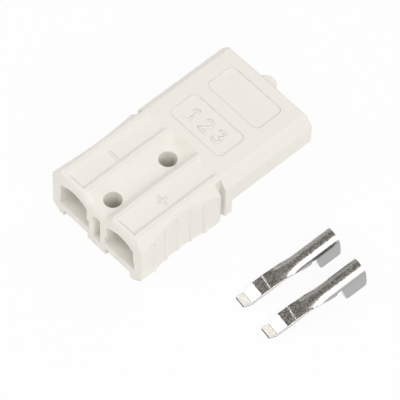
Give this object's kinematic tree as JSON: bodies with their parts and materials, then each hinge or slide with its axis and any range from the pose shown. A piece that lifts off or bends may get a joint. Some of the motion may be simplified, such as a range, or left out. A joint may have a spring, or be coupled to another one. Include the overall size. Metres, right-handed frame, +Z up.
{
  "type": "genderless power connector",
  "caption": "Moulded two-pole genderless power connector housing with bolt holes and ribbed finger grips, with its loose crimp contacts.",
  "frame": {"origin": "on the table plane under the middle of the mating face: x = 0 is the centre plane between the poles, y = 0 the mating face, z = 0 the base", "axes": "+X to the right across the two poles as seen looking in +Y at the mating face, +Y from the mating face to the wire entries, +Z up out of the face with the valley and the label panels"},
  "size_m": [0.0711, 0.0602, 0.0175],
  "materials": {
    "housing_plastic": "warm off-white moulded thermoplastic, satin",
    "contact_metal": "bright plated strip",
    "spring_steel": "bright spring strip"
  },
  "bodies": {
    "root": {"housing": "housing_plastic", "contact_left": "contact_metal", "contact_right": "contact_metal", "spring_left": "spring_steel", "spring_right": "spring_steel"}
  },
  "joints": []
}
